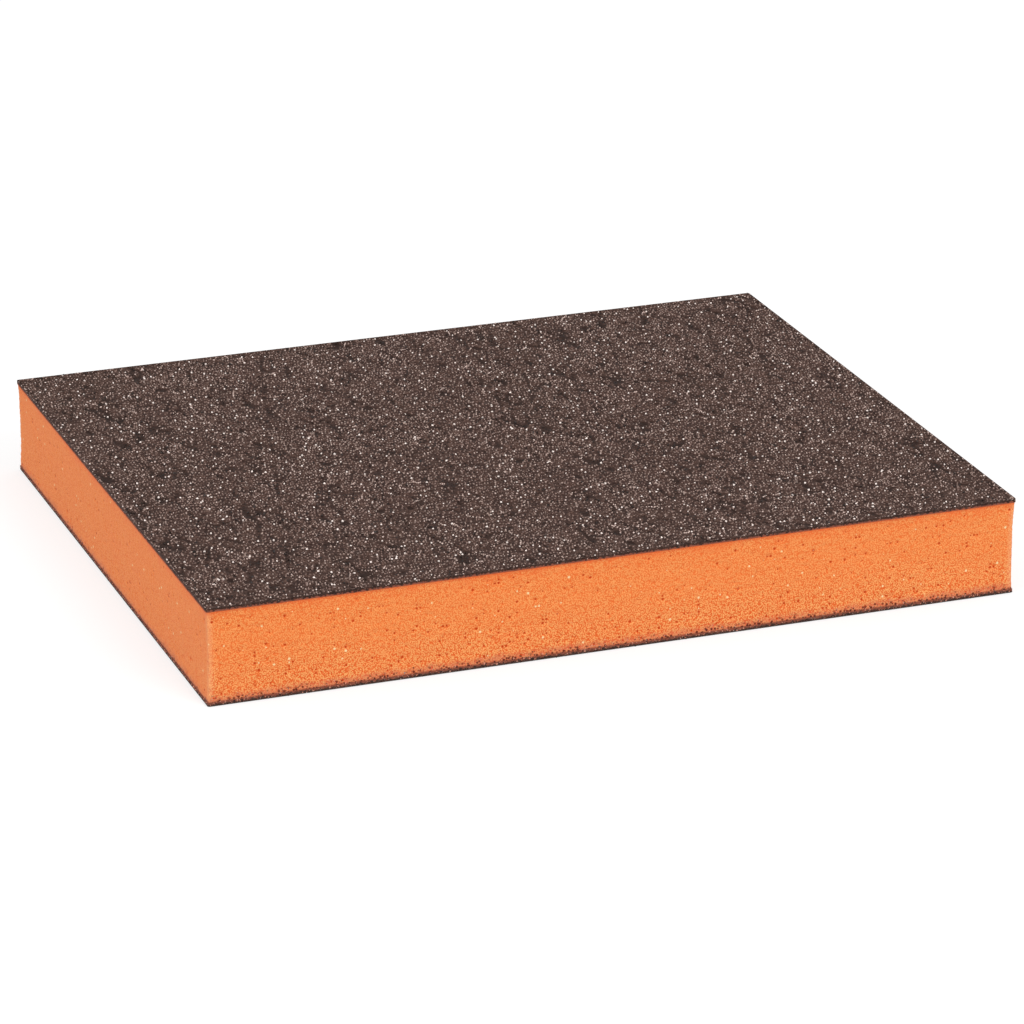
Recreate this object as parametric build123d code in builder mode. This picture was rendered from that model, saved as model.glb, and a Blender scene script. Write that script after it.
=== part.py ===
"""Double-sided sanding sponge pad, in millimetres.

A slab of open-cell polyurethane foam carries an abrasive coat, grain bonded in resin, on its
upper and its lower face. The pad is cut from a coated sheet, so its four sides are bare foam:
they draw in a little between the coats and show the largest of the foam's cells as open pits.
Where a large cell lies just under a coat, the coat sinks into it as a shallow dimple.

The origin is the middle of the face that the pad lies on. +X runs along the pad's length, +Y
along its width, and +Z up through its thickness.
"""

from build123d import *

import os
from math import dist, sqrt
from random import Random

# Foam slab
PAD_LENGTH = 120.0
PAD_WIDTH = 98.0
FOAM_THICKNESS = 13.2
CORNER_RADIUS = 0.3  # of the upright corners
SIDE_HOLLOW = 0.2  # how far the sides draw in, half-way up the foam

# Abrasive coats
COAT_THICKNESS = 0.6
COAT_OVERHANG = 0.1  # how far a coat's rim stands out past the foam
COAT_RIM_BEVEL = 0.15  # blunts the rim of the working face

# Large cells, open in the cut sides, of one kind for each radius at the mouth
CELL_RADII = (0.35, 0.45, 0.6)
CELL_WALL_COUNTS = (5, 6, 6)
CELL_DEPTH = 0.45
CELL_TAPER = 18  # degrees
CELLS_APART = 5.8  # the least distance between two cells
CELL_MARGIN = 1.6  # from a cell's middle to a coat or an upright corner

# Dimples in the working faces, likewise
DIMPLE_RADII = (0.75, 1.0)
DIMPLE_WALL_COUNTS = (6, 7)
DIMPLE_DEPTH = 0.22
DIMPLE_TAPER = 55
DIMPLES_APART = 9.5
DIMPLE_MARGIN = 3.0

CUTTER_RISE = 0.1  # how far what cuts a cell or a dimple starts outside its mouth

# Places worked out from the sizes above
FOAM_BOTTOM = COAT_THICKNESS
FOAM_TOP = FOAM_BOTTOM + FOAM_THICKNESS
FOAM_MIDDLE = FOAM_BOTTOM + FOAM_THICKNESS / 2
FOAM_LENGTH = PAD_LENGTH - 2 * COAT_OVERHANG
FOAM_WIDTH = PAD_WIDTH - 2 * COAT_OVERHANG
HOLLOW_RADIUS = ((FOAM_THICKNESS / 2) ** 2 + SIDE_HOLLOW**2) / (2 * SIDE_HOLLOW)


def scattered(width: float, height: float, apart: float, seed: int) -> list[tuple]:
    """Places strewn over a rectangle about its middle, no two of them nearer than `apart`, each
    as its x, its y and a turn in degrees."""
    chance = Random(seed)
    places = []
    for _ in range(round(20 * width * height / apart**2)):
        x, y = chance.uniform(-width / 2, width / 2), chance.uniform(-height / 2, height / 2)
        if all(dist((x, y), other[:2]) >= apart for other in places):
            places.append((x, y, chance.uniform(0, 360)))
    return places


def hollow_depth(height: float) -> float:
    """How far a side lies inside its straight outline, at this height from the foam's middle."""
    return sqrt(HOLLOW_RADIUS**2 - height**2) - (HOLLOW_RADIUS - SIDE_HOLLOW)


def foam_sides() -> list[tuple[Plane, float]]:
    """Each side's straight outline: a plane through its middle, facing out, and its length."""
    to_end, to_front = FOAM_LENGTH / 2, FOAM_WIDTH / 2
    return [
        (Plane((0, -to_front, FOAM_MIDDLE), x_dir=(1, 0, 0), z_dir=(0, -1, 0)), FOAM_LENGTH),
        (Plane((to_end, 0, FOAM_MIDDLE), x_dir=(0, 1, 0), z_dir=(1, 0, 0)), FOAM_WIDTH),
        (Plane((0, to_front, FOAM_MIDDLE), x_dir=(-1, 0, 0), z_dir=(0, 1, 0)), FOAM_LENGTH),
        (Plane((-to_end, 0, FOAM_MIDDLE), x_dir=(0, -1, 0), z_dir=(-1, 0, 0)), FOAM_WIDTH),
    ]


def cell_mouths() -> list[Location]:
    """Where the large cells open in the hollow sides."""
    mouths = []
    for seed, (side, length) in enumerate(foam_sides()):
        clear_length = length - 2 * CELL_MARGIN
        clear_height = FOAM_THICKNESS - 2 * CELL_MARGIN
        for along, up, turn in scattered(clear_length, clear_height, CELLS_APART, seed):
            mouth = Location((along, up, -hollow_depth(up)), (0, 0, turn))
            mouths.append(side.location * mouth)
    return mouths


def dimple_mouths(working_face: Plane, seed: int) -> list[Location]:
    """Where the dimples lie in a working face."""
    clear_length = PAD_LENGTH - 2 * DIMPLE_MARGIN
    clear_width = PAD_WIDTH - 2 * DIMPLE_MARGIN
    return [
        working_face.location * Location((x, y, 0), (0, 0, turn))
        for x, y, turn in scattered(clear_length, clear_width, DIMPLES_APART, seed)
    ]


def pocket_cutters(radii: tuple, wall_counts: tuple, depth: float, taper: float) -> list[Part]:
    """A solid for each kind of pocket, that cuts it down from the XY plane."""
    cutters = []
    for mouth_radius, wall_count in zip(radii, wall_counts):
        with BuildPart() as cutter:
            with BuildSketch(Plane.XY.offset(-depth)):
                RegularPolygon(mouth_radius, wall_count)
            extrude(amount=depth + CUTTER_RISE)
            walls = cutter.faces().filter_by(Axis.Z, reverse=True)
            draft(walls, neutral_plane=Plane.XY, angle=-taper)
        cutters.append(cutter.part)
    return cutters


def cut_pockets(cutters: list[Part], mouths: list[Location]):
    """Cuts a pocket at each mouth in the part being built, each kind in its turn."""
    for number, cutter in enumerate(cutters):
        with Locations(*mouths[number :: len(cutters)]):
            add(cutter, mode=Mode.SUBTRACT)


def lay_coat(bond: Plane, seed: int):
    """Builds a coat up from the foam face `bond` to its working face."""
    with BuildSketch(bond) as outline:
        RectangleRounded(PAD_LENGTH, PAD_WIDTH, CORNER_RADIUS + COAT_OVERHANG)
    extrude(outline.sketch, amount=COAT_THICKNESS)

    rim = faces().sort_by(Axis(bond.origin, bond.z_dir))[-1].edges()
    chamfer(rim, length=COAT_RIM_BEVEL)
    cut_pockets(DIMPLE_CUTTERS, dimple_mouths(bond.offset(COAT_THICKNESS), seed))


CELL_CUTTERS = pocket_cutters(CELL_RADII, CELL_WALL_COUNTS, CELL_DEPTH, CELL_TAPER)
DIMPLE_CUTTERS = pocket_cutters(DIMPLE_RADII, DIMPLE_WALL_COUNTS, DIMPLE_DEPTH, DIMPLE_TAPER)

# The foam slab: a block whose four sides are cut hollow by a wide cylinder along each, then
# rounded up the corners, then pitted where the cut opens a large cell
with BuildPart() as foam_core:
    with Locations((0, 0, FOAM_MIDDLE)):
        Box(PAD_LENGTH, PAD_WIDTH, FOAM_THICKNESS)

    for side, length in foam_sides():
        cylinder_axis = side.offset(HOLLOW_RADIUS - SIDE_HOLLOW).origin
        with Locations(Plane(cylinder_axis, z_dir=side.x_dir)):
            Cylinder(HOLLOW_RADIUS, 2 * length, mode=Mode.SUBTRACT)

    upright_corners = foam_core.edges().filter_by(GeomType.LINE, reverse=True)
    fillet(upright_corners, radius=CORNER_RADIUS)

    cut_pockets(CELL_CUTTERS, cell_mouths())

# The coats: the upper one faces up, and the lower one down, onto what the pad lies on
with BuildPart() as upper_abrasive_coat:
    lay_coat(Plane((0, 0, FOAM_TOP), x_dir=(1, 0, 0), z_dir=(0, 0, 1)), seed=10)

with BuildPart() as lower_abrasive_coat:
    lay_coat(Plane((0, 0, FOAM_BOTTOM), x_dir=(1, 0, 0), z_dir=(0, 0, -1)), seed=11)

foam_core.part.label = "foam_core"
upper_abrasive_coat.part.label = "upper_abrasive_coat"
lower_abrasive_coat.part.label = "lower_abrasive_coat"

os.makedirs("parts", exist_ok=True)
export_step(foam_core.part, "parts/foam_core.step")
export_step(upper_abrasive_coat.part, "parts/upper_abrasive_coat.step")
export_step(lower_abrasive_coat.part, "parts/lower_abrasive_coat.step")
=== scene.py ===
"""Dresses the packed sanding sponge pad: cut open-cell foam between two gritty abrasive coats.

Sizes and places are in millimetres in the frame's own axes, and are turned into metres where
they are handed to Blender.
"""

import math

import bpy
import numpy as np
from mathutils import Matrix, Vector


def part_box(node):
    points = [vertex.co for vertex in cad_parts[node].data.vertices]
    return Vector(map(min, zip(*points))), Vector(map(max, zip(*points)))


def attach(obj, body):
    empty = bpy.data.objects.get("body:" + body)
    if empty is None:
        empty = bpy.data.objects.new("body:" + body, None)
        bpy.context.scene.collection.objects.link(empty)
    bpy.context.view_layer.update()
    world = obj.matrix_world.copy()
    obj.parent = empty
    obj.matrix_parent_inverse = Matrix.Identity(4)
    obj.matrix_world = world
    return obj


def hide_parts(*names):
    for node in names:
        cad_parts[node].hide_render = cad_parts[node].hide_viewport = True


MM = 0.001

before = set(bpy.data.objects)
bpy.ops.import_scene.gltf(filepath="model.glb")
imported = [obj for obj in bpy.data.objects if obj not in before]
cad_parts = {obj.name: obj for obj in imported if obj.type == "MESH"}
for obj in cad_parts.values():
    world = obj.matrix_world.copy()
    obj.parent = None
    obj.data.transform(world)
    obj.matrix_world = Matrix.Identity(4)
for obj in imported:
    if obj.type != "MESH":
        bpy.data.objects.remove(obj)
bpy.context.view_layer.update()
foam_low, foam_high = (np.array(corner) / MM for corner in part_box("foam_core"))
coat_low, coat_high = (np.array(corner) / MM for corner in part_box("upper_abrasive_coat"))
foam_half, coat_half = foam_high[:2], coat_high[:2]
PAD_TOP = coat_high[2]

# The foam
FOAM_CORNER = 0.25  # radius of its upright corners
FOAM_STEP = 0.27  # between two points of its mesh, along its sides
FOAM_ROWS = 50  # of its mesh, up its sides
SIDE_HOLLOW = 0.12  # how far its sides are drawn in, half-way up
PORES = 2600  # large cells that the cut has opened, before some are left out on the ends
PORE_DEPTH = 0.08
PALE_CELLS = 380  # likewise, those that it has only just touched, whose pale spots are painted glints off their thin walls
CELL_REACH = 0.6  # how far from its middle a large cell shows at the most
END_NORMAL = 0.7  # the X of a side's normal, over which the side is one of the pad's two ends

# The coats
COAT_CORNER = 0.25  # radius of their upright corners
COAT_STEP = 0.37  # between two points of their mesh
COAT_JITTER = 0.13  # how far such a point may lie from its place in an even grid
LAID = 2.0  # how much longer the coat's figure is across the pad than along it
FURROW_LAID = 2.8  # the same for its furrows
FURROW_SIZE = 1.5  # from one curl of a furrow to the next
FURROW_TURN = np.array([[0.8, 0.6], [-0.6, 0.8]])  # turns their noise off the pad's sides
FURROW_DEPTH = 0.12
PITS = 160
PIT_MARGIN = 1.5  # from a pit's middle to the rim
GRAIN_BUMP = 0.14  # how far a point of the mesh may stand out, as a grain of its own
ON_RIM = 1e-6  # how near to the rim's outline a point is when it is on it

# The rows of points down a coat's cut edge: the share of the way to the bond, and the wear there
RIM_ROWS = [(0.2, 0.01), (0.5, 0.03), (0.8, 0.04), (1.0, 0.02)]

# The grain
GRAIN_STANDS = 0.26  # how far its tips stand over the resin
UPPER_SPACING = 0.46  # between single grains along the pad
LOWER_SPACING = 0.52
STREWN_MARGIN = 2.0  # how far past the rim the rows of single grains start, as they are bent
STREWN_BLOCK = (4, 2)  # cells along and across the pad that share out the kinds evenly
RIM_GRAINS = 1500
BLED_GRAINS = 3000  # of the lower coat's, up the cut sides

# The seeds of what is drawn by chance
FOAM_SEED = 3
UPPER_SEED, LOWER_SEED = 11, 31
UPPER_GRIT_SEED, LOWER_GRIT_SEED, BLED_SEED = 51, 71, 91

# The floor and the light
FLOOR_HALF = 4.0  # metres
FLOOR_DROP = 0.05  # how far it lies under the lower coat
FLOOR_GREY = 0.36
FLOOR_GLOW = 0.68  # what the floor adds to its own light where a background is seen
WORLD_LIGHT, WORLD_SEEN = 0.8, 1.0  # the world's strength as a light, and as a background

# The main view, solved from the seven corners of the pad that it shows
AZIMUTH, ELEVATION = -20.235, 21.035  # degrees
CAMERA_RIGHT, CAMERA_UP, CAMERA_BACK = 1.718, 2.466, 737.4  # from the origin, in its own axes
SENSOR, LENS = 36, 175.69


# --- Noise and scatter -----------------------------------------------------------------------


def hashed(cells, seed):
    """A number from -1 to 1 for each row of whole numbers, the same on each run."""
    mixed = np.full(len(cells), seed * 7919 + 17, np.uint64)
    for column in cells.T:
        mixed = (mixed ^ column.astype(np.uint64)) * np.uint64(0x9E3779B97F4A7C15)
        mixed ^= mixed >> np.uint64(29)
    return (mixed >> np.uint64(40)).astype(float) / 2**24 * 2 - 1


def lattice_noise(points, size, seed):
    """Smooth noise from -1 to 1 at each point, with features of about `size`."""
    scaled = points / size
    cell = np.floor(scaled).astype(np.int64)
    part = scaled - cell
    part = part * part * (3 - 2 * part)
    total = np.zeros(len(points))
    for corner in np.ndindex(*(2,) * points.shape[1]):
        weight = np.prod(np.where(corner, part, 1 - part), axis=1)
        total += hashed(cell + corner, seed) * weight
    return total


def bowl(distance, radius):
    """1 in the middle of a pit and 0 from its rim out."""
    inside = np.clip(1 - (distance / radius) ** 2, 0, 1)
    return inside * (2 - inside)


def spot(distance, radius):
    """0.5 at a spot's rim and 0 from 0.3 mm outside it, so that it stays whole on a mesh."""
    return np.clip(0.5 + (radius - distance) / 0.6, 0, 1)


# --- Meshes ----------------------------------------------------------------------------------


def mesh_object(name, points, polygons, materials, smooth=True):
    """A mesh object from points in millimetres, riding on the pad."""
    mesh = bpy.data.meshes.new(name)
    mesh.from_pydata((points * MM).tolist(), [], polygons)
    mesh.validate()
    if smooth:
        mesh.shade_smooth()
    else:
        mesh.shade_flat()
    for material in materials:
        mesh.materials.append(material)
    made = bpy.data.objects.new(name, mesh)
    bpy.context.scene.collection.objects.link(made)
    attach(made, "root")
    return made


def give_points(made, name, values):
    """Stores a number at each of a mesh's points, for its material to read."""
    attribute = made.data.attributes.new(name, "FLOAT", "POINT")
    attribute.data.foreach_set("value", values.astype(np.float32))


def split_quads(a, b, c, d, turned):
    """Two triangles for each quad a, b, c, d: cut from a to c where `turned`, else b to d."""
    turned = turned[:, None]
    first = np.where(turned, np.stack([a, b, c], 1), np.stack([a, b, d], 1))
    second = np.where(turned, np.stack([a, c, d], 1), np.stack([b, c, d], 1))
    return first.tolist() + second.tolist()


def heading_to(degrees):
    """The unit vector in plan that points this far anticlockwise from +X."""
    angle = math.radians(degrees)
    return np.array([math.cos(angle), math.sin(angle)])


def rounded_outline(half, radius, spacing):
    """Points anticlockwise around a rounded rectangle, and the outward normal at each."""
    points, normals = [], []
    centres = np.array([[1, -1], [1, 1], [-1, 1], [-1, -1]]) * (half - radius)
    arc_steps = max(3, round(radius * math.pi / 2 / spacing))
    for number, centre in enumerate(centres):
        start = 90 * (number - 1)
        for step in range(arc_steps):
            normal = heading_to(start + 90 * step / arc_steps)
            points.append(centre + radius * normal)
            normals.append(normal)
        normal = heading_to(start + 90)
        run_start = centre + radius * normal
        run_end = centres[(number + 1) % 4] + radius * normal
        run_steps = round(np.linalg.norm(run_end - run_start) / spacing)
        for step in range(run_steps):
            points.append(run_start + (run_end - run_start) * step / run_steps)
            normals.append(normal)
    return np.array(points), np.array(normals)


# --- The foam --------------------------------------------------------------------------------


def drawn_in(height):
    """How far the foam's side lies inside its outline at this height."""
    middle, half_height = (foam_low[2] + foam_high[2]) / 2, (foam_high[2] - foam_low[2]) / 2
    return SIDE_HOLLOW * (1 - ((height - middle) / half_height) ** 2)


def cut_cells(chance, along, heights, on_end):
    """How far each point of the sides is in an opened cell's pit, in its pore, which is painted
    dark as shade in the cell, and in a pale cell that the cut has only just touched, whose pale
    spot is a painted glint off its thin wall, each from 0 to 1.
    A cell's middle is always at a point where the diagonals of the mesh meet, so that even a
    small one shows as round."""
    point_along = np.tile(along, len(heights))
    point_height = np.repeat(heights, len(along))
    pit, pore, pale = np.zeros((3, len(point_along)))

    def around(column, row):
        """Which points are near a place in the mesh, and how far from it they are."""
        aside, above = point_along - along[column], point_height - heights[row]
        close = (np.abs(aside) < CELL_REACH) & (np.abs(above) < CELL_REACH)
        return close, np.hypot(aside[close], above[close])

    # Pores, more of them towards the bottom and fewer on the pad's ends
    for _ in range(PORES):
        column = 2 * chance.integers(len(along) // 2)
        row = 2 + 2 * int((FOAM_ROWS // 2 - 2) * chance.uniform() ** 1.4)
        radius = 0.03 + 0.2 * chance.uniform() ** 1.6
        if on_end[column] and chance.uniform() < 0.6:
            continue
        close, distance = around(column, row)
        pore[close] = np.maximum(pore[close], spot(distance, radius))
        pit[close] = np.maximum(pit[close], bowl(distance, 0.2 + radius))

    # Pale cells, painted glints off thin walls, of which the ends show the large ones only
    for _ in range(PALE_CELLS):
        column = 2 * chance.integers(len(along) // 2)
        row = 2 * chance.integers(2, FOAM_ROWS // 2 - 1)
        radius = chance.uniform(0.04, 0.22)
        if on_end[column] and radius < 0.16:
            continue
        close, distance = around(column, row)
        pale[close] = np.maximum(pale[close], spot(distance, radius))
    return pit, pore, pale


def foam_body(material):
    """The foam slab: sides drawn in between the coats, wavy from the cut, with open pores."""
    chance = np.random.default_rng(FOAM_SEED)
    low, high = foam_low[2], foam_high[2]
    outline, normals = rounded_outline(foam_half, FOAM_CORNER, FOAM_STEP)
    count = len(outline)
    heights = np.linspace(low, high, FOAM_ROWS + 1)
    outward = np.tile(normals, (len(heights), 1))
    flat = np.column_stack([np.tile(outline, (len(heights), 1)), np.repeat(heights, count)])
    height = flat[:, 2]

    # Waves and small cells all over a side, fading out at the bonds
    share = (2 * height - low - high) / (high - low)
    wave = 0.04 * lattice_noise(flat, size=9.0, seed=1)
    wave += 0.03 * lattice_noise(flat, size=2.5, seed=2)
    cells = 0.04 * chance.uniform(-1, 1, len(flat))
    inset = drawn_in(height) + (wave + cells + 0.05) * (1 - share**8)

    gap = np.linalg.norm(np.roll(outline, -1, 0) - outline, axis=1)
    along = np.concatenate([[0], np.cumsum(gap)])[:-1]
    on_end = np.abs(normals[:, 0]) > END_NORMAL
    pit, pore, pale = cut_cells(chance, along, heights, on_end)
    inset += PORE_DEPTH * pit
    points = flat.copy()
    points[:, :2] -= outward * inset[:, None]

    index = np.arange(count)
    after = (index + 1) % count
    polygons = []
    for row in range(FOAM_ROWS):
        a, b = row * count + index, row * count + after
        polygons += split_quads(a, b, b + count, a + count, (index + row) % 2 == 0)
    polygons.append((FOAM_ROWS * count + index).tolist())
    polygons.append(index[::-1].tolist())

    body = mesh_object("foam_body", points, polygons, [material])
    give_points(body, "pore", pore)
    give_points(body, "pale", pale)
    to_corner = np.hypot(*(foam_half - np.abs(flat[:, :2])).T)
    # Nearness to the upright corners, where the material paints a highlight
    give_points(body, "corner", np.exp(-((to_corner / 0.9) ** 2)))
    give_points(body, "end", outward[:, 0] ** 2)
    return body


# --- The coats -------------------------------------------------------------------------------


def furrows(plan, seed):
    """1 along short curled furrows in a coat, and 0 from a little way off them."""
    turned = plan / (1, FURROW_LAID) @ FURROW_TURN
    from_line = np.abs(lattice_noise(turned, FURROW_SIZE, seed + 2))
    line = np.clip(1.6 - from_line / 0.1, 0, 1)
    broken = np.clip(0.5 + 3.0 * lattice_noise(turned, FURROW_SIZE, seed + 3), 0, 1)
    return line * broken


def resin_drop(plan, seed):
    """How far a coat's resin lies below the tips of its grain: rolling, furrowed and pitted."""
    chance = np.random.default_rng(seed + 7)
    rolling = 0.03 * lattice_noise(plan, 3.2, seed) + 0.02 * lattice_noise(plan, 1.3, seed + 1)
    pits = np.zeros(len(plan))
    for _ in range(PITS):
        middle = chance.uniform(-1, 1, 2) * (coat_half - PIT_MARGIN)
        radius, depth = chance.uniform(0.36, 0.65), chance.uniform(0.08, 0.19)
        close = np.abs(plan[:, 0] - middle[0]) < radius
        distance = np.hypot(*((plan[close] - middle) / (1, LAID)).T)
        pits[close] = np.maximum(pits[close], depth * bowl(distance, radius))
    return GRAIN_STANDS - rolling + np.maximum(pits, FURROW_DEPTH * furrows(plan, seed))


def coat_grid(chance):
    """A grid of points over a coat, uneven but for its rim, and drawn in to the coat's rounded
    corners: their places in plan, which lie inside the rim, and the steps along X and Y."""
    steps = [round(2 * half / COAT_STEP) for half in coat_half]
    lines = [np.linspace(-half, half, step + 1) for half, step in zip(coat_half, steps)]
    plan = np.stack([grid.ravel() for grid in np.meshgrid(*lines)], 1)
    inner = (coat_half - np.abs(plan) > ON_RIM).all(axis=1)
    for axis in range(2):
        plan[:, axis] += inner * chance.uniform(-COAT_JITTER, COAT_JITTER, len(plan))

    past = np.abs(plan) - (coat_half - COAT_CORNER)
    corner = (past > 0).all(axis=1)
    past = past[corner]
    pull = past.max(axis=1) / np.hypot(*past.T)
    rounded = coat_half - COAT_CORNER + past * pull[:, None]
    plan[corner] = np.sign(plan[corner]) * rounded
    return plan, inner, *steps


def grid_rim(steps_x, steps_y):
    """The numbers of a grid's outer points, anticlockwise."""
    width = steps_x + 1
    return np.concatenate(
        [
            np.arange(width),
            np.arange(1, steps_y + 1) * width + steps_x,
            steps_y * width + np.arange(steps_x - 1, -1, -1),
            np.arange(steps_y - 1, 0, -1) * width,
        ]
    )


def coat_shell(name, bond, face, material, seed):
    """A coat from height `bond` to `face`: facetted with grain, furrowed and pitted."""
    chance = np.random.default_rng(seed)
    outward = 1 if face > bond else -1
    plan, inner, steps_x, steps_y = coat_grid(chance)
    grain = chance.uniform(0, 1, len(plan)) ** 2
    resin = resin_drop(plan, seed)
    drop = resin - GRAIN_BUMP * grain
    drop = np.where(inner, np.clip(drop, 0.04, 0.45), np.clip(drop, 0.0, 0.06))
    top = np.column_stack([plan, face - outward * drop])

    width = steps_x + 1
    cell = (np.arange(steps_y)[:, None] * width + np.arange(steps_x)).ravel()
    turned = chance.uniform(0, 1, len(cell)) < 0.5
    polygons = split_quads(cell, cell + 1, cell + 1 + width, cell + width, turned)

    # Rows of points down the coat's cut edge to the bond, and one polygon over the bond
    rim = grid_rim(steps_x, steps_y)
    index = np.arange(len(rim))
    after = (index + 1) % len(rim)
    inward = -np.sign(top[rim, :2]) * (np.abs(top[rim, :2]) > coat_half - ON_RIM)
    parts, previous = [top], rim
    for level, (share, wear_and_painted_highlight) in enumerate(RIM_ROWS):
        row = top[rim].copy()
        row[:, 2] += (bond - row[:, 2]) * share
        shift = wear_and_painted_highlight * (1 + lattice_noise(row, 0.7, seed + 5))
        row[:, :2] += inward * shift[:, None]
        parts.append(row)
        current = len(top) + level * len(rim) + index
        polygons += np.stack([previous, current, current[after], previous[after]], 1).tolist()
        previous = current
    polygons.append(previous[::-1].tolist())
    if outward < 0:
        polygons = [polygon[::-1] for polygon in polygons]

    shell = mesh_object(name, np.vstack(parts), polygons, [material], smooth=False)
    edge_points = len(RIM_ROWS) * len(rim)
    give_points(shell, "grain", np.append(grain, np.zeros(edge_points)))
    give_points(shell, "side", np.append(np.zeros(len(top)), np.ones(edge_points)))
    # How deep a point lies in a pit, which the material darkens as painted shade
    pit_shade = np.clip((resin - GRAIN_STANDS - 0.02) / 0.12, 0, 1)
    give_points(shell, "pit", np.append(pit_shade, np.zeros(edge_points)))
    return shell


# --- Materials -------------------------------------------------------------------------------


class Shader:
    """The node tree of one material, with its places in millimetres."""

    def __init__(self, name):
        self.material = bpy.data.materials.new(name)
        self.material.use_nodes = True
        self.tree = self.material.node_tree
        self.tree.nodes.clear()
        self.surface = self.node("ShaderNodeBsdfPrincipled")
        self.output = self.node("ShaderNodeOutputMaterial")
        self.tree.links.new(self.surface.outputs["BSDF"], self.output.inputs["Surface"])

    def node(self, kind, inputs=None, **settings):
        """A new node, with its settings, and its inputs by their names or numbers."""
        made = self.tree.nodes.new(kind)
        for name, value in settings.items():
            setattr(made, name, value)
        for name, value in (inputs or {}).items():
            self.give(made.inputs[name], value)
        return made

    def give(self, socket, value):
        """Links a socket to another one, or sets its value."""
        if isinstance(value, bpy.types.NodeSocket):
            self.tree.links.new(value, socket)
        else:
            socket.default_value = value

    def set(self, **inputs):
        """Gives the surface's sockets their values, by their names with _ for a space."""
        for name, value in inputs.items():
            self.give(self.surface.inputs[name.replace("_", " ")], value)

    def place(self):
        """The place on the pad, in millimetres."""
        coordinates = self.node("ShaderNodeTexCoord").outputs["Object"]
        scaled = self.node("ShaderNodeVectorMath", {0: coordinates}, operation="SCALE")
        scaled.inputs["Scale"].default_value = 1 / MM
        return scaled.outputs[0]

    def height(self, place):
        """How high a place is."""
        return self.node("ShaderNodeSeparateXYZ", {0: place}).outputs["Z"]

    def noise(self, place, size, seed, detail=2.0, roughness=0.5):
        """Noise about 0.5, with features of about `size`."""
        inputs = {"Vector": place, "Scale": 1 / size, "Detail": detail, "Roughness": roughness}
        made = self.node("ShaderNodeTexNoise", inputs, noise_dimensions="4D")
        made.inputs["W"].default_value = seed
        return made.outputs["Fac"]

    def cells(self, place, size):
        """How far a place is from the middle of its cell, as a share of the cells' `size`."""
        inputs = {"Vector": place, "Scale": 1 / size}
        return self.node("ShaderNodeTexVoronoi", inputs).outputs["Distance"]

    def point(self, name):
        """What give_points() stored under this name."""
        return self.node("ShaderNodeAttribute", attribute_name=name).outputs["Fac"]

    def fit(self, value, low, high, to_low=0.0, to_high=1.0):
        """Moves smoothly from `to_low` to `to_high` as the value goes from `low` to `high`."""
        names = ["Value", "From Min", "From Max", "To Min", "To Max"]
        inputs = dict(zip(names, [value, low, high, to_low, to_high]))
        made = self.node("ShaderNodeMapRange", inputs, interpolation_type="SMOOTHSTEP")
        return made.outputs["Result"]

    def math(self, operation, first, second=0.0):
        """What an operation makes of one number or two."""
        return self.node("ShaderNodeMath", {0: first, 1: second}, operation=operation).outputs[0]

    def mix(self, share, first, second):
        """One colour mixed into another by `share`."""
        made = self.node("ShaderNodeMix", {0: share, 6: first, 7: second}, data_type="RGBA")
        return made.outputs[2]


def srgb(red, green, blue):
    """A colour's linear values, from 0 to 255 levels."""
    levels = np.array([red, green, blue]) / 255
    linear = np.where(levels <= 0.04045, levels / 12.92, ((levels + 0.055) / 1.055) ** 2.4)
    return (*linear.tolist(), 1.0)


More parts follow.
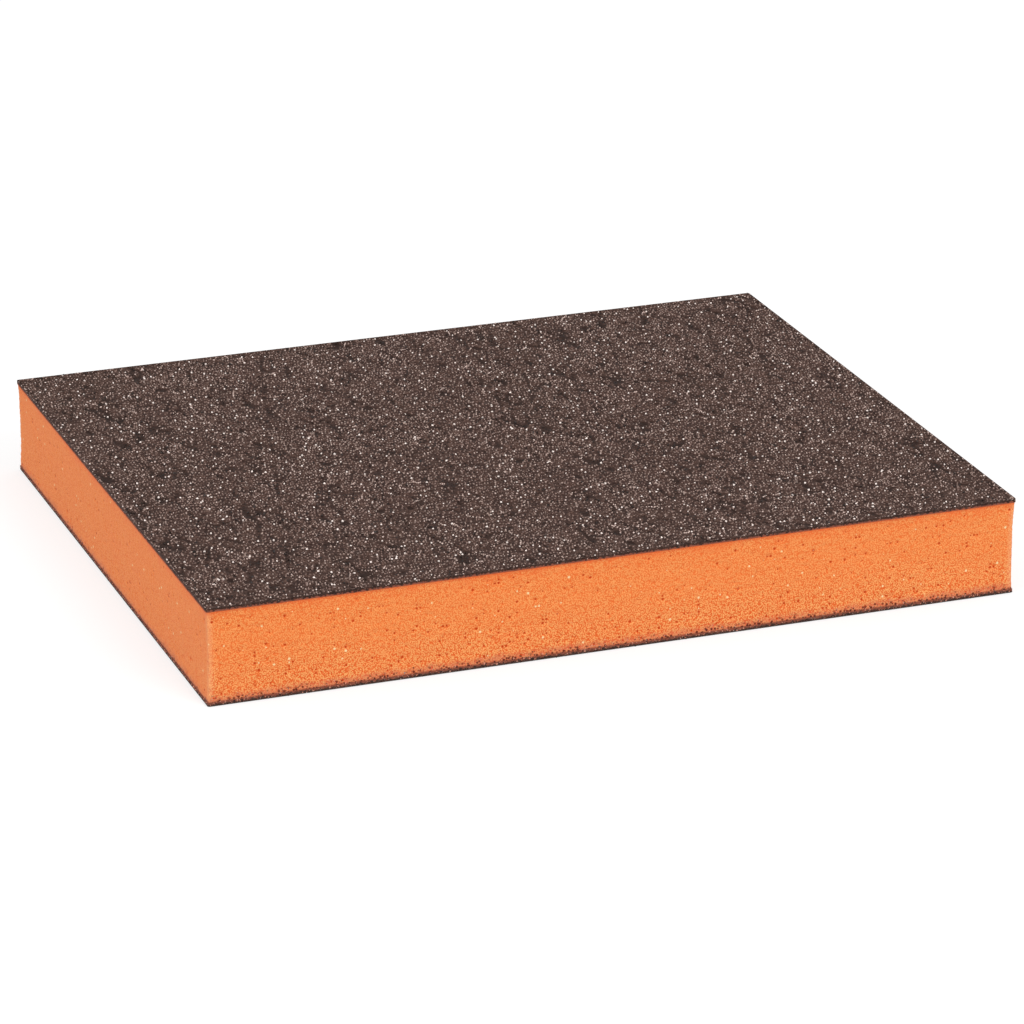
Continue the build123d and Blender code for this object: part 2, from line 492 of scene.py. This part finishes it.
def foam_material():
    """Orange open-cell foam, crisper towards the bottom and softer on the pad's ends."""
    shader = Shader("foam")
    place = shader.place()
    height = shader.height(place)
    from_bottom = shader.math("SUBTRACT", height, float(foam_low[2]))
    from_top = shader.math("SUBTRACT", float(foam_high[2]), height)
    end = shader.point("end")

    # Crumbs of the cut foam, lighter in the middle and darker in the gaps between them
    crumbs = shader.cells(place, 0.19)
    crisp = shader.fit(from_bottom, 9.0, 0.8, 0.5, 1.0)
    crisp = shader.math("MULTIPLY", crisp, shader.fit(end, 0.0, 1.0, 1.0, 0.3))
    light = shader.mix(crisp, srgb(255, 152, 82), srgb(255, 183, 110))
    dark = shader.mix(crisp, srgb(248, 130, 60), srgb(230, 98, 36))
    colour = shader.mix(shader.fit(crumbs, 0.25, 0.7), light, dark)
    small = shader.noise(place, 0.3, seed=2.0)
    colour = shader.mix(shader.fit(small, 0.5, 0.75, 0.0, 0.15), colour, srgb(255, 178, 110))
    broad = shader.noise(place, 6.0, seed=4.0)
    colour = shader.mix(shader.fit(broad, 0.35, 0.7, 0.0, 0.12), colour, srgb(252, 130, 66))

    # The cut corners are worn smooth; the paler band down them is painted highlight, standing in
    # for light scattered through the foam at its edges
    wear_and_painted_highlight = shader.fit(shader.point("corner"), 0.1, 1.0, 0.0, 0.34)
    colour = shader.mix(wear_and_painted_highlight, colour, srgb(255, 188, 138))

    # A redder line where the foam meets the upper coat, painted shade under the coat's edge, with
    # a ragged flush under it
    red = shader.fit(from_top, 0.6, 0.05, 0.0, 0.55)
    colour = shader.mix(red, colour, srgb(205, 84, 50))
    ragged = shader.noise(place, 1.6, seed=6.0, detail=3.0, roughness=0.6)
    flush = shader.math("MULTIPLY", shader.fit(from_top, 2.2, 0.2), shader.fit(ragged, 0.4, 0.62))
    colour = shader.mix(shader.math("MULTIPLY", flush, 0.45), colour, srgb(246, 112, 52))

    # A dusty haze that has risen unevenly from the lower coat
    reach = shader.fit(ragged, 0.35, 0.7, -0.15, 0.3)
    reach = shader.math("SUBTRACT", reach, shader.math("MULTIPLY", end, 0.35))
    over_reach = shader.math("SUBTRACT", from_bottom, reach)
    haze = shader.fit(over_reach, 1.5, 0.0, 0.0, 0.6)
    colour = shader.mix(haze, colour, srgb(206, 118, 90))

    # The large cells, dark red-brown as painted shade in them, and dark specks of grain low in
    # the haze
    colour = shader.mix(shader.fit(shader.point("pore"), 0.4, 0.7), colour, srgb(202, 62, 0))
    # Painted glints off the thin walls of the pale cells
    pale = shader.fit(shader.point("pale"), 0.42, 0.66, 0.0, 0.9)
    colour = shader.mix(pale, colour, srgb(255, 228, 172))
    speck = shader.fit(shader.cells(place, 0.48), 0.46, 0.28)
    speck = shader.math("MULTIPLY", speck, shader.fit(over_reach, 0.9, 0.1))
    colour = shader.mix(speck, colour, srgb(104, 36, 12))

    raised = shader.math("MULTIPLY", crumbs, -1.0)
    bump = {"Height": raised, "Strength": 0.35, "Distance": 0.12 * MM}
    normal = shader.node("ShaderNodeBump", bump).outputs["Normal"]
    shader.set(Base_Color=colour, Roughness=0.85, Specular_IOR_Level=0.15, Normal=normal)
    shader.set(Sheen_Weight=0.14, Sheen_Roughness=0.5)
    return shader.material


def coat_material():
    """Dark brown resin, full of grain too fine for the mesh."""
    shader = Shader("abrasive")
    place = shader.place()
    stretch = {0: place, 1: (1.0, 1 / LAID, 1.0)}
    laid = shader.node("ShaderNodeVectorMath", stretch, operation="MULTIPLY").outputs[0]
    blotch = shader.noise(laid, 1.6, seed=5.0)
    fine = shader.noise(laid, 0.26, seed=7.0, detail=3.0, roughness=0.7)
    tip = shader.point("grain")

    colour = shader.mix(shader.fit(blotch, 0.3, 0.7), srgb(50, 34, 29), srgb(68, 48, 41))
    colour = shader.mix(shader.fit(tip, 0.5, 1.0, 0.0, 0.5), colour, srgb(116, 91, 81))
    colour = shader.mix(shader.fit(fine, 0.48, 0.68, 0.0, 0.6), colour, srgb(118, 92, 82))
    colour = shader.mix(shader.fit(fine, 0.46, 0.32, 0.0, 0.5), colour, srgb(26, 18, 16))
    # Darker in the pits: painted shade
    colour = shader.mix(shader.point("pit"), colour, srgb(44, 30, 25))

    # Foam shows through the coat's ragged edge at the bond
    middle = float(foam_low[2] + foam_high[2]) / 2
    from_middle = shader.math("ABSOLUTE", shader.math("SUBTRACT", shader.height(place), middle))
    over_bond = shader.math("SUBTRACT", from_middle, float(foam_high[2]) - middle)
    reach = shader.fit(shader.noise(place, 0.5, seed=9.0), 0.3, 0.65, 0.0, 0.28)
    bare = shader.fit(shader.math("SUBTRACT", reach, over_bond), -0.08, 0.08, 0.0, 0.8)
    bare = shader.math("MULTIPLY", bare, shader.point("side"))
    colour = shader.mix(bare, colour, srgb(156, 90, 70))

    shader.set(Base_Color=colour, Roughness=0.75, Specular_IOR_Level=0.1)
    return shader.material


def grain_material(name, colour, roughness):
    """One of the tones that the grain is mixed from."""
    shader = Shader(name)
    shader.set(Base_Color=colour, Roughness=roughness, Specular_IOR_Level=0.35)
    return shader.material


# --- Grain -----------------------------------------------------------------------------------

DARK, BROWN, PALE, RUST, PINK, LIGHT, WHITE_GLINT = range(7)

# How much of each kind there is
BRIGHT_STRINGS = {PALE: 0.66, LIGHT: 0.34}
FAINT_STRINGS = {DARK: 0.3, BROWN: 0.2, PALE: 0.44, LIGHT: 0.06}
SINGLES = {DARK: 0.03, BROWN: 0.475, PALE: 0.395, LIGHT: 0.055, WHITE_GLINT: 0.045}
BLED = {RUST: 0.38, DARK: 0.06, BROWN: 0.1, PINK: 0.46}

OCTAHEDRON = (
    np.array([[1, 0, 0], [-1, 0, 0], [0, 1, 0], [0, -1, 0], [0, 0, 1], [0, 0, -1]], float),
    np.array(
        [[0, 2, 4], [2, 1, 4], [1, 3, 4], [3, 0, 4], [2, 0, 5], [1, 2, 5], [3, 1, 5], [0, 3, 5]]
    ),
)
TETRAHEDRON = (
    np.array([[1, 1, 1], [1, -1, -1], [-1, 1, -1], [-1, -1, 1]]) * 0.75,
    np.array([[0, 1, 2], [0, 2, 3], [0, 3, 1], [1, 3, 2]]),
)


def crystals(name, places, sizes, kinds, materials, seed):
    """Loose facetted grains at `places`: bent octahedra where they are light, else shards."""
    chance = np.random.default_rng(seed)
    blocky = kinds >= LIGHT
    points, polygons, slots, made_points = [], [], [], 0
    for chosen, shape, faces in [(blocky, *OCTAHEDRON), (~blocky, *TETRAHEDRON)]:
        count = chosen.sum()
        turns = np.linalg.qr(chance.normal(size=(count, 3, 3)))[0]
        turns[:, :, 0] *= np.sign(np.linalg.det(turns))[:, None]
        bent = shape[None] * chance.uniform(0.65, 1.2, (count, len(shape), 1))
        turned = np.einsum("nij,nkj->nki", turns, bent) * sizes[chosen, None, None] / 2
        points.append((turned + places[chosen, None]).reshape(-1, 3))
        first = made_points + np.arange(count)[:, None, None] * len(shape)
        polygons += (faces[None] + first).reshape(-1, 3).tolist()
        slots.append(np.repeat(kinds[chosen], len(faces)))
        made_points += count * len(shape)
    made = mesh_object(name, np.vstack(points), polygons, materials, smooth=False)
    made.data.polygons.foreach_set("material_index", np.concatenate(slots).astype(np.int32))
    return made


def kinds_of(chance, number, shares):
    """The kinds of so many grains, by chance."""
    return chance.choice(list(shares), number, p=list(shares.values()))


def strings(chance, number, length, step, shares):
    """So many curled strings, each `length` grains of one kind that lie `step` apart: places in
    plan, and each grain's kind."""
    at = chance.uniform(-1, 1, (number, 2)) * coat_half

    # Strings that lie near each other run much the same way
    heading = math.tau * lattice_noise(at, 7.0, 77) + chance.uniform(-0.6, 0.6, number)
    bend = chance.choice([-1, 1], number) * chance.uniform(0.08, 0.35, number)
    places = []
    for _ in range(length):
        places.append(at + chance.normal(0, 0.04, at.shape))
        at = at + step * np.stack([np.cos(heading), LAID * np.sin(heading)], 1)
        heading += bend
    return np.vstack(places), np.tile(kinds_of(chance, number, shares), length)


def strewn(chance, across, shares):
    """Single grains in bent rows of cells that are `across` wide and longer by LAID: places in
    plan, and kinds, which are spread evenly over each block of cells."""
    half = coat_half + STREWN_MARGIN
    block_x, block_y = STREWN_BLOCK
    columns = block_x * int(2 * half[0] / across / block_x)
    rows = block_y * int(2 * half[1] / across / LAID / block_y)
    column, row = (grid.ravel() for grid in np.meshgrid(np.arange(columns), np.arange(rows)))
    cell = np.stack([column, row], 1)
    at = (cell + chance.uniform((0.28, 0.12), (0.72, 0.88), cell.shape)) / (columns, rows)
    at = (2 * at - 1) * half
    bend_x = 1.2 * lattice_noise(at / (4, 1), 5.0, 61)
    bend_y = 1.8 * lattice_noise(at / (1, 4), 4.0, 63) + 0.7 * lattice_noise(at / (1, 5), 1.8, 64)

    # The cells of a block are ranked by chance, and each rank has its own part of the kinds
    block = (row // block_y) * (columns // block_x) + column // block_x
    order = np.lexsort((chance.uniform(0, 1, len(cell)), block))
    ranks = block_x * block_y
    rank = np.empty(len(cell))
    rank[order] = np.arange(len(cell)) % ranks
    level = (rank + chance.uniform(0, 1, len(cell))) / ranks
    pick = np.searchsorted(np.cumsum(list(shares.values())), level)
    kinds = np.array(list(shares))[np.minimum(pick, len(shares) - 1)]
    return at + np.stack([bend_x, bend_y], 1), kinds


def face_grain(chance, face, outward, coat_seed, across):
    """Grain over a working face, as places, sizes and kinds: strings, and singles between."""
    bright, bright_kind = strings(chance, 600, length=3, step=0.28, shares=BRIGHT_STRINGS)
    faint, faint_kind = strings(chance, 360, length=6, step=0.4, shares=FAINT_STRINGS)
    single, single_kind = strewn(chance, across, SINGLES)
    plan = np.vstack([bright, faint, single])
    kinds = np.concatenate([bright_kind, faint_kind, single_kind])
    sizes = np.concatenate(
        [
            chance.uniform(0.22, 0.34, len(bright)),
            chance.uniform(0.24, 0.34, len(faint)),
            chance.uniform(0.22, 0.36, len(single)),
        ]
    )
    sizes[kinds == WHITE_GLINT] += 0.08

    # None at the very rim, fewer in the pits, and mostly dark ones in the furrows, as painted
    # shade there
    inside = (np.abs(plan) < coat_half - 0.1).all(axis=1)
    plan, kinds, sizes = plan[inside], kinds[inside], sizes[inside]
    drop = resin_drop(plan, coat_seed)
    stays = chance.uniform(0, 1, len(plan)) > (drop - GRAIN_STANDS - 0.04) / 0.16
    plan, kinds, sizes, drop = plan[stays], kinds[stays], sizes[stays], drop[stays]
    shaded_furrow = chance.uniform(0, 1, len(plan)) < 0.85 * furrows(plan, coat_seed)
    kinds[shaded_furrow & (kinds < LIGHT)] = DARK

    # Each is part sunk in the resin, and none stands far over the working face
    below = drop - sizes * chance.uniform(0.2, 0.4, len(plan))
    height = face - outward * np.maximum(below, 0.55 * sizes - 0.04)
    return np.column_stack([plan, height]), sizes, kinds


def rim_spots(chance, number):
    """Points around a coat's outline, and the outward normal at each."""
    outline, normals = rounded_outline(coat_half, COAT_CORNER, spacing=0.1)
    which = chance.integers(0, len(outline), number)
    return outline[which], normals[which]


def rim_grain(chance, face, outward):
    """Grain on the blunted rim of a coat, from its working face a little way down."""
    at, normals = rim_spots(chance, RIM_GRAINS)
    down = chance.uniform(0.08, 0.3, RIM_GRAINS)
    inset = chance.uniform(0.06, 0.2, RIM_GRAINS)
    places = np.column_stack([at - normals * inset[:, None], face - outward * down])
    sizes = chance.uniform(0.16, 0.28, RIM_GRAINS)
    return places, sizes, chance.choice([DARK, BROWN, PALE, LIGHT], RIM_GRAINS)


def bled_grain():
    """Grain of the lower coat that has bled up the cut sides, fewer the higher it is."""
    chance = np.random.default_rng(BLED_SEED)
    at, normals = rim_spots(chance, BLED_GRAINS)
    on_end = np.abs(normals[:, 0]) > END_NORMAL
    spread = np.where(on_end, 0.15, 0.42)
    height = 0.22 + np.abs(chance.normal(0, 1, BLED_GRAINS)) * spread
    height = np.clip(height, 0.1, 1.5)
    inset = np.where(height > foam_low[2], 0.12 + drawn_in(height), 0.06)
    places = np.column_stack([at - normals * inset[:, None], height])
    sizes = chance.uniform(0.14, 0.28, BLED_GRAINS)
    return places, sizes, kinds_of(chance, BLED_GRAINS, BLED)


def grit(name, face, outward, materials, seeds, across, more_grain=()):
    """The grain of one coat, with its own seed and the coat's: over its working face, along its
    rim, and any more that is given."""
    seed, coat_seed = seeds
    chance = np.random.default_rng(seed)
    groups = [face_grain(chance, face, outward, coat_seed, across)]
    groups += [rim_grain(chance, face, outward), *more_grain]
    places, sizes, kinds = (np.concatenate(column) for column in zip(*groups))
    return crystals(name, places, sizes, kinds, materials, seed + 1)


# --- The pad ---------------------------------------------------------------------------------

foam = foam_material()
abrasive = coat_material()
grains = [
    grain_material("grain_dark", srgb(28, 19, 16), 0.5),
    grain_material("grain_brown", srgb(136, 110, 101), 0.5),
    grain_material("grain_pale", srgb(166, 142, 132), 0.4),
    grain_material("grain_rust", srgb(126, 62, 44), 0.5),
    grain_material("grain_pink", srgb(216, 150, 126), 0.5),
    grain_material("grain_light", srgb(222, 197, 187), 0.35),
    # Near-white grain: partly real white grain, partly painted glints on its facets
    grain_material("grain_white_glint", srgb(255, 240, 232), 0.25),
]

body = foam_body(foam)
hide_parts("foam_core")

upper = coat_shell("upper_coat", float(coat_low[2]), float(PAD_TOP), abrasive, UPPER_SEED)
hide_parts("upper_abrasive_coat")
lower = coat_shell("lower_coat", float(foam_low[2]), 0.0, abrasive, LOWER_SEED)
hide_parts("lower_abrasive_coat")

grit_seeds = (UPPER_GRIT_SEED, UPPER_SEED)
upper_grit = grit("upper_grit", PAD_TOP, 1, grains, grit_seeds, UPPER_SPACING)
grit_seeds = (LOWER_GRIT_SEED, LOWER_SEED)
lower_grit = grit("lower_grit", 0.0, -1, grains, grit_seeds, LOWER_SPACING, [bled_grain()])


# --- Floor, light and camera -----------------------------------------------------------------


def seen_rays(tree):
    """1 on the rays that show a background to the camera, in a mirror or through glass."""
    path = tree.nodes.new("ShaderNodeLightPath")
    seen = path.outputs["Is Camera Ray"]
    for name in ("Is Glossy Ray", "Is Transmission Ray"):
        either = tree.nodes.new("ShaderNodeMath")
        either.operation = "MAXIMUM"
        tree.links.new(seen, either.inputs[0])
        tree.links.new(path.outputs[name], either.inputs[1])
        seen = either.outputs[0]
    return seen


def floor_material():
    """A white floor that the camera sees as plain white wherever nothing shades it."""
    shader = Shader("floor")
    grey = (FLOOR_GREY, FLOOR_GREY, FLOOR_GREY, 1.0)
    shader.set(Base_Color=grey, Roughness=1.0, Specular_IOR_Level=0.0)
    strength = shader.math("MULTIPLY", seen_rays(shader.tree), FLOOR_GLOW)
    glow = shader.node("ShaderNodeEmission", {"Strength": strength}).outputs["Emission"]
    both = shader.node("ShaderNodeAddShader", {0: shader.surface.outputs["BSDF"], 1: glow})
    shader.tree.links.new(both.outputs[0], shader.output.inputs["Surface"])
    return shader.material


def add_floor():
    """The stage that the pad lies on."""
    mesh = bpy.data.meshes.new("floor")
    corners = [(-1, -1, 0), (1, -1, 0), (1, 1, 0), (-1, 1, 0)]
    mesh.from_pydata([Vector(corner) * FLOOR_HALF for corner in corners], [], [(0, 1, 2, 3)])
    mesh.materials.append(floor_material())
    floor = bpy.data.objects.new("floor", mesh)
    bpy.context.scene.collection.objects.link(floor)
    floor.location.z = -FLOOR_DROP * MM


def add_world():
    """Even white light from all round, and a white background."""
    world = bpy.data.worlds.new("studio")
    bpy.context.scene.world = world
    world.use_nodes = True
    tree = world.node_tree
    background = tree.nodes["Background"]
    background.inputs["Color"].default_value = (1.0, 1.0, 1.0, 1.0)
    strength = tree.nodes.new("ShaderNodeMapRange")
    strength.inputs["To Min"].default_value = WORLD_LIGHT
    strength.inputs["To Max"].default_value = WORLD_SEEN
    tree.links.new(seen_rays(tree), strength.inputs["Value"])
    tree.links.new(strength.outputs["Result"], background.inputs["Strength"])


def add_softbox(name, place, power, size):
    """A square lamp that faces the pad, with its place and size in metres."""
    light = bpy.data.lights.new(name, "AREA")
    light.energy, light.size = power, size
    made = bpy.data.objects.new(name, light)
    made.location = place
    made.rotation_euler = (-Vector(place)).to_track_quat("-Z", "Y").to_euler()
    bpy.context.scene.collection.objects.link(made)


def add_camera():
    """The camera of the main view."""
    azimuth, elevation = math.radians(AZIMUTH), math.radians(ELEVATION)
    right = Vector((math.cos(azimuth), math.sin(azimuth), 0))
    level_back = Vector((math.sin(azimuth), -math.cos(azimuth), 0))
    back = level_back * math.cos(elevation) + Vector((0, 0, math.sin(elevation)))
    up = back.cross(right)
    data = bpy.data.cameras.new("camera")
    data.sensor_width, data.lens = SENSOR, LENS
    camera = bpy.data.objects.new("camera", data)
    camera.matrix_world = Matrix((right, up, back)).transposed().to_4x4()
    camera.location = (CAMERA_RIGHT * right + CAMERA_UP * up + CAMERA_BACK * back) * MM
    bpy.context.scene.collection.objects.link(camera)
    bpy.context.scene.camera = camera


add_floor()
add_world()
add_softbox("key", place=(0.3, -0.9, 0.6), power=5.3, size=0.5)
add_softbox("fill", place=(-0.9, -0.2, 0.45), power=2.65, size=0.6)
add_camera()

bpy.context.scene.view_settings.view_transform = "Standard"
